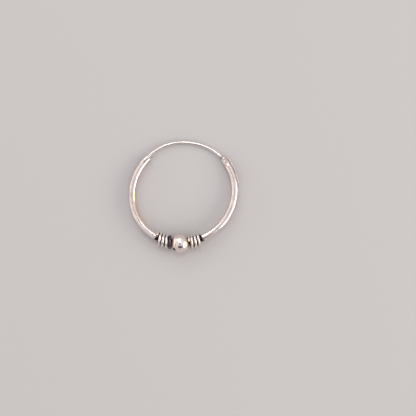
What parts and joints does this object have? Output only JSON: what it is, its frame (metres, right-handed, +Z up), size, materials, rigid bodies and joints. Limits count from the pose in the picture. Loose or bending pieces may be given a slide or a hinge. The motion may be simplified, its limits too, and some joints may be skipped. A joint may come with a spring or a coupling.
{
  "type": "hinged hoop earring",
  "caption": "Small silver hoop earring: a hollow tube ring with a riveted, outward-swinging ear wire, and a ball held between two wound wire coils at the bottom.",
  "frame": {"origin": "under the middle of the bounding box, on the surface that the earring lies on", "axes": "+Z up, square to that surface; +Y from the ball towards the ear wire; +X towards the hinge"},
  "size_m": [0.02, 0.0204, 0.0034],
  "materials": {
    "tube_silver": "polished sterling silver, worn, with fine scratches and crimp marks at the hinge",
    "wire_silver": "drawn and polished sterling silver wire",
    "bead_silver": "mirror-polished sterling silver with light tarnish at the rims",
    "coil_silver": "sterling silver wire, oxidised dark in the grooves and polished on the crests"
  },
  "bodies": {
    "hoop": {"hoop_tube": "tube_silver", "hinge_rivet": "tube_silver", "bead": "bead_silver", "coil_left": "coil_silver", "coil_right": "coil_silver"},
    "wire": {"ear_wire": "wire_silver"}
  },
  "joints": [
    {"name": "wire_hinge", "type": "hinge", "parent": "hoop", "child": "wire", "pos_m": [0.00765, 0.00646, 0.00068], "axis": [-0.0406, 0.0367, 0.9985], "range_deg": [-160, 0]}
  ]
}
